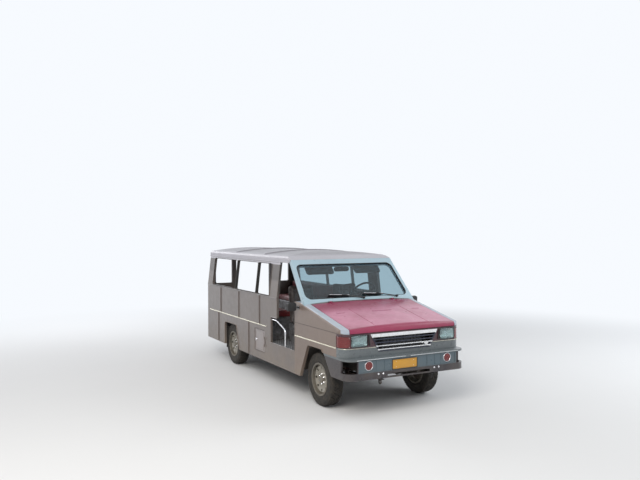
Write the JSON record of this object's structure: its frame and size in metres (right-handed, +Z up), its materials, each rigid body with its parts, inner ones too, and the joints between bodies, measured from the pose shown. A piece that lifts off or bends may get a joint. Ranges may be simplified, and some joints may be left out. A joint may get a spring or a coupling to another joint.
{
  "type": "jeepney",
  "caption": "Small open-sided passenger jeepney with a sloping bonnet, leaning windscreen, side benches, open doorways, a rear step, steered front wheels and a hatch.",
  "frame": {"origin": "on the ground under the middle of the vehicle's overall length and width", "axes": "+X towards the vehicle's left, +Y towards its rear, +Z up"},
  "size_m": [2.138, 5.37, 1.9649],
  "materials": {
    "crimson_paint": "gloss crimson paint",
    "roof_paint": "silver grey paint",
    "screen_frame_paint": "pale silver blue paint",
    "body_paint": "warm grey paint",
    "hatch_paint": "lighter grey paint",
    "bumper_paint": "blue grey paint",
    "floor_paint": "dark floor paint",
    "chassis_paint": "black chassis paint",
    "cast_iron": "cast",
    "spring_steel": "dull",
    "engine_iron": "cast",
    "radiator_metal": "dull",
    "exhaust_steel": "heat dulled",
    "chrome_trim": "polished",
    "headlight_glass": "clear lens",
    "red_lens": "red lens",
    "screen_glass": "clear",
    "black_plastic": "black",
    "dash_plastic": "dark grey",
    "seat_vinyl": "dark vinyl",
    "bench_vinyl": "maroon vinyl",
    "step_steel": "worn grey paint",
    "tyre_rubber": "worn tread",
    "wheel_paint": "silver wheel paint"
  },
  "bodies": {
    "body": {"bench_backs": "bench_vinyl", "bench_cushion_left": "bench_vinyl", "bench_cushion_right": "bench_vinyl", "chassis": "chassis_paint", "cowl": "body_paint", "crossmembers": "chassis_paint", "dashboard": "dash_plastic", "driver_seat": "seat_vinyl", "engine": "engine_iron", "exhaust": "exhaust_steel", "fender_left": "body_paint", "fender_right": "body_paint", "floor": "floor_paint", "front_axle": "cast_iron", "front_bumper": "bumper_paint", "fuel_tank": "chassis_paint", "grab_rails": "chrome_trim", "grille": "chrome_trim", "headlights": "headlight_glass", "leaf_springs": "spring_steel", "mirrors": "black_plastic", "nose_panel": "body_paint", "passenger_seat": "seat_vinyl", "propshaft": "spring_steel", "radiator": "radiator_metal", "rear_axle": "cast_iron", "rear_frame": "body_paint", "rear_step": "step_steel", "roof": "roof_paint", "side_panel_left": "body_paint", "side_panel_right": "body_paint", "signal_lamps": "red_lens", "steering_column": "black_plastic", "tail_lamps": "red_lens", "trim_strips": "chrome_trim", "windscreen_frame": "screen_frame_paint", "windscreen_glass": "screen_glass", "wipers": "black_plastic"},
    "bonnet": {"bonnet": "crimson_paint"},
    "access_door": {"access_door": "hatch_paint"},
    "steering_wheel": {"steering_wheel": "black_plastic"},
    "knuckle_left": {"knuckle_left": "cast_iron"},
    "knuckle_right": {"knuckle_right": "cast_iron"},
    "tie_rod": {"tie_rod": "spring_steel"},
    "wheel_front_left": {"tyre_front_left": "tyre_rubber", "wheel_front_left": "wheel_paint"},
    "wheel_front_right": {"tyre_front_right": "tyre_rubber", "wheel_front_right": "wheel_paint"},
    "wheel_rear_left": {"tyre_rear_left": "tyre_rubber", "wheel_rear_left": "wheel_paint"},
    "wheel_rear_right": {"tyre_rear_right": "tyre_rubber", "wheel_rear_right": "wheel_paint"}
  },
  "joints": [
    {"name": "front_left_wheel_spin", "type": "hinge", "parent": "knuckle_left", "child": "wheel_front_left", "pos_m": [0.7475, -1.865, 0.345], "axis": [1, 0, 0], "continuous": true},
    {"name": "front_right_wheel_spin", "type": "hinge", "parent": "knuckle_right", "child": "wheel_front_right", "pos_m": [-0.7475, -1.865, 0.345], "axis": [1, 0, 0], "continuous": true},
    {"name": "rear_left_wheel_spin", "type": "hinge", "parent": "body", "child": "wheel_rear_left", "pos_m": [0.7475, 1.275, 0.345], "axis": [1, 0, 0], "continuous": true},
    {"name": "rear_right_wheel_spin", "type": "hinge", "parent": "body", "child": "wheel_rear_right", "pos_m": [-0.7475, 1.275, 0.345], "axis": [1, 0, 0], "continuous": true},
    {"name": "steer_left", "type": "hinge", "parent": "body", "child": "knuckle_left", "pos_m": [0.69, -1.865, 0.345], "axis": [0, 0, 1], "range_deg": [-28, 28]},
    {"name": "steer_right", "type": "hinge", "parent": "body", "child": "knuckle_right", "pos_m": [-0.69, -1.865, 0.345], "axis": [0, 0, 1], "range_deg": [-28, 28]},
    {"name": "tie_rod_pivot", "type": "hinge", "parent": "knuckle_left", "child": "tie_rod", "pos_m": [0.69, -1.735, 0.35], "axis": [0, 0, 1], "range_deg": [-28, 28]},
    {"name": "steering_wheel_turn", "type": "hinge", "parent": "body", "child": "steering_wheel", "pos_m": [0.37, -0.985, 1.335], "axis": [0, 0.8192, 0.5736], "range_deg": [-448, 448]},
    {"name": "bonnet_hinge", "type": "hinge", "parent": "body", "child": "bonnet", "pos_m": [0, -1.5715, 1.304], "axis": [-1, 0, 0], "range_deg": [0, 55]},
    {"name": "access_door_hinge", "type": "hinge", "parent": "body", "child": "access_door", "pos_m": [-0.9005, -0.2225, 0.595], "axis": [0, 0, 1], "range_deg": [0, 110]}
  ],
  "couplings": [
    {"joint": "steer_right", "follows": "steer_left", "ratio": 1},
    {"joint": "tie_rod_pivot", "follows": "steer_left", "ratio": -1},
    {"joint": "steering_wheel_turn", "follows": "steer_left", "ratio": 16}
  ]
}
